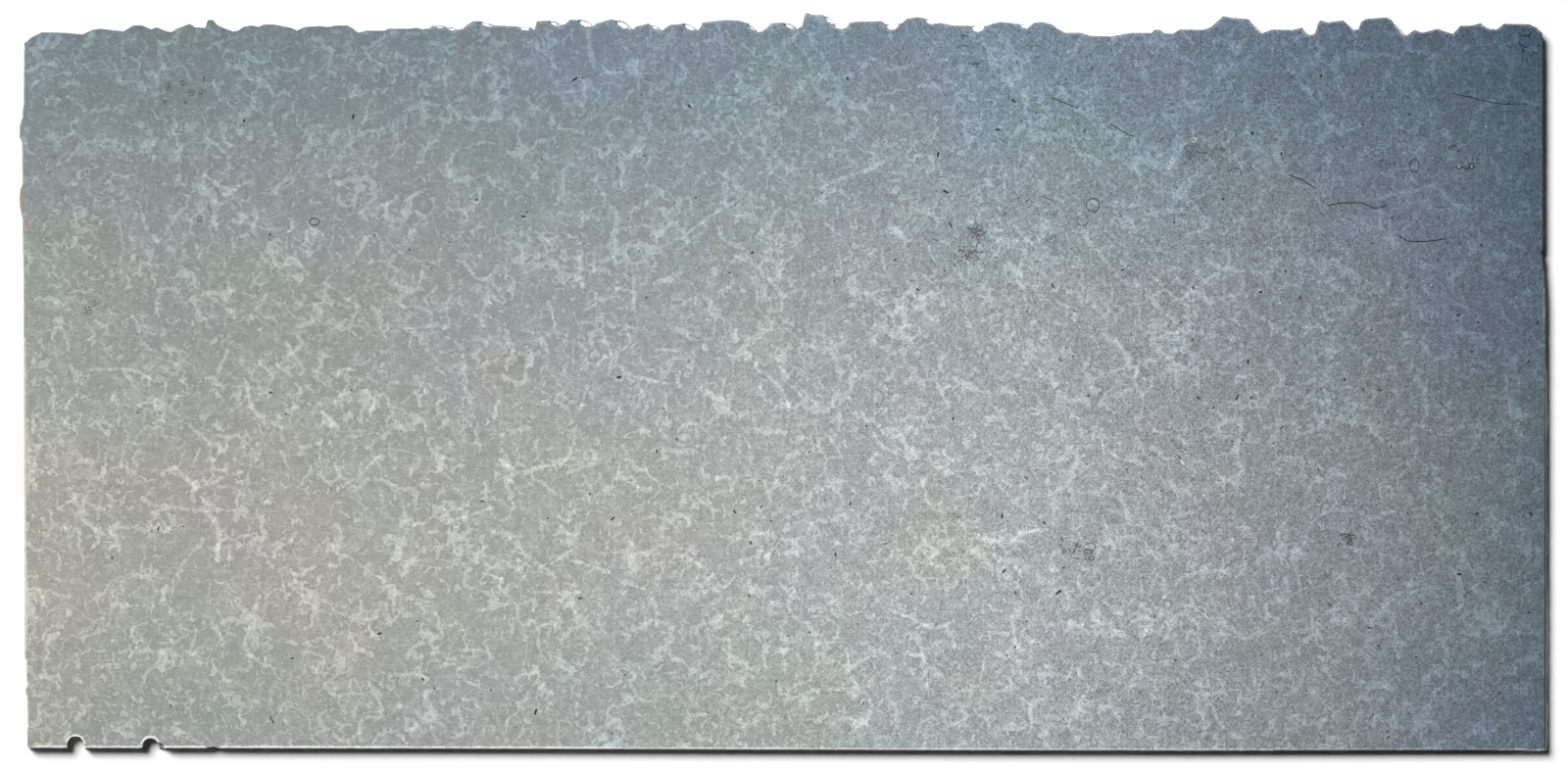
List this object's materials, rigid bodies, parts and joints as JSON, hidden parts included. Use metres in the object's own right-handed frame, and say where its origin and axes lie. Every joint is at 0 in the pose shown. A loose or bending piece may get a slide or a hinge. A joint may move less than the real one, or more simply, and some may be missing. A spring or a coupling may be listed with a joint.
{
  "type": "limestone slab",
  "caption": "Large flat plate of honed grey-blue limestone with three sawn sides, one broken quarry side and half drill holes in its lower edge.",
  "frame": {"origin": "middle of the bounding box on the plane of the sawn underside", "axes": "+X along the slab's length, +Y towards the broken quarry edge, +Z out of the honed face"},
  "size_m": [2.9992, 1.4466, 0.02],
  "materials": {
    "limestone": "honed face, gang-sawn underside, two ends and lower edge, broken upper edge"
  },
  "bodies": {
    "root": {"slab": "limestone"}
  },
  "joints": []
}
